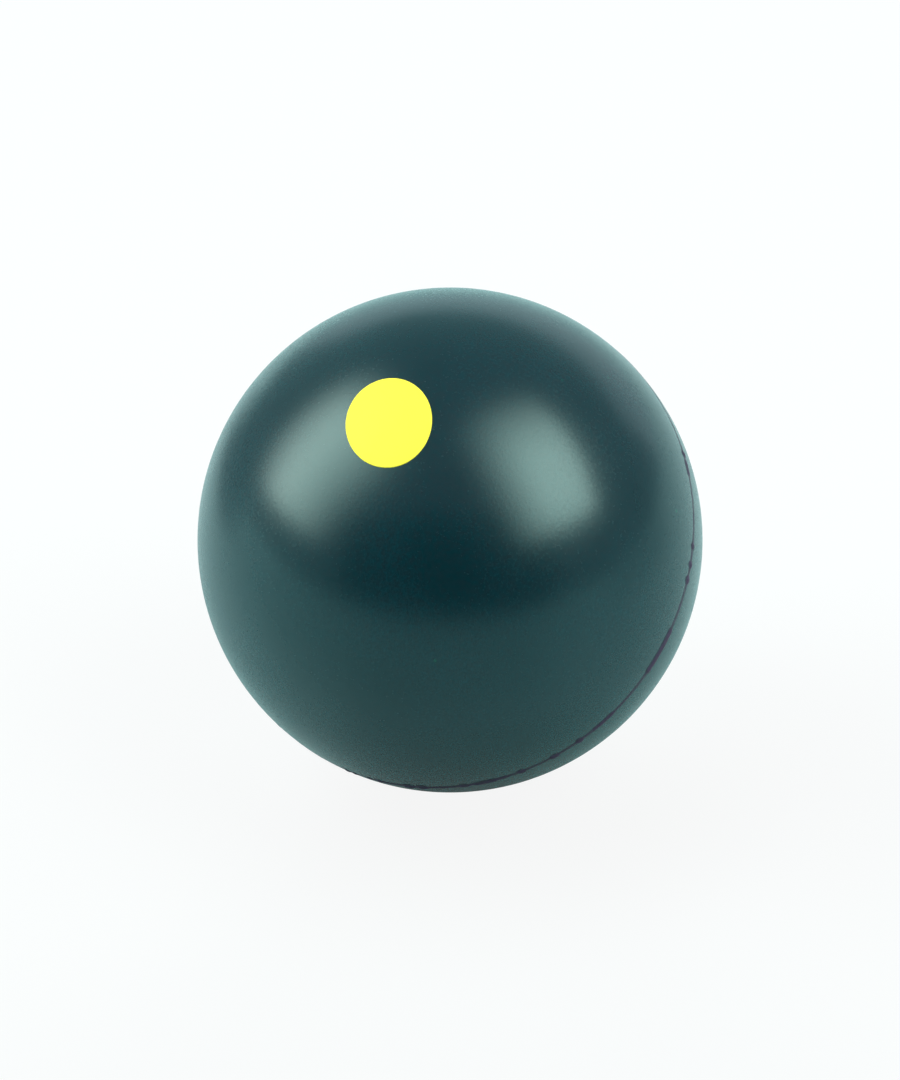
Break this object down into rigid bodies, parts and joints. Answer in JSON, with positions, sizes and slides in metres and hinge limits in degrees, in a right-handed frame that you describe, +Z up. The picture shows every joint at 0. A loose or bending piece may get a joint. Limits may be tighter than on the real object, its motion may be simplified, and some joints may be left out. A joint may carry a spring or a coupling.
{
  "type": "squash ball",
  "caption": "Small hollow rubber ball of two half shells cemented at an equatorial seam, with a printed dot on one half, for play against a wall.",
  "frame": {"origin": "centre of the ball", "axes": "+Z is up, as the ball lies on a table. The axis square to the seam lies in the YZ plane, leans 45 degrees from +Z towards -Y, and comes out through the dotted half, so the dot faces up and to the front (-Y)."},
  "size_m": [0.04, 0.04, 0.04],
  "materials": {
    "rubber": "satin",
    "cement": "matte",
    "dot_ink": "matte"
  },
  "bodies": {
    "root": {"dotted_half_shell": "rubber", "plain_half_shell": "rubber", "cement_ring": "cement", "printed_dot": "dot_ink"}
  },
  "joints": []
}
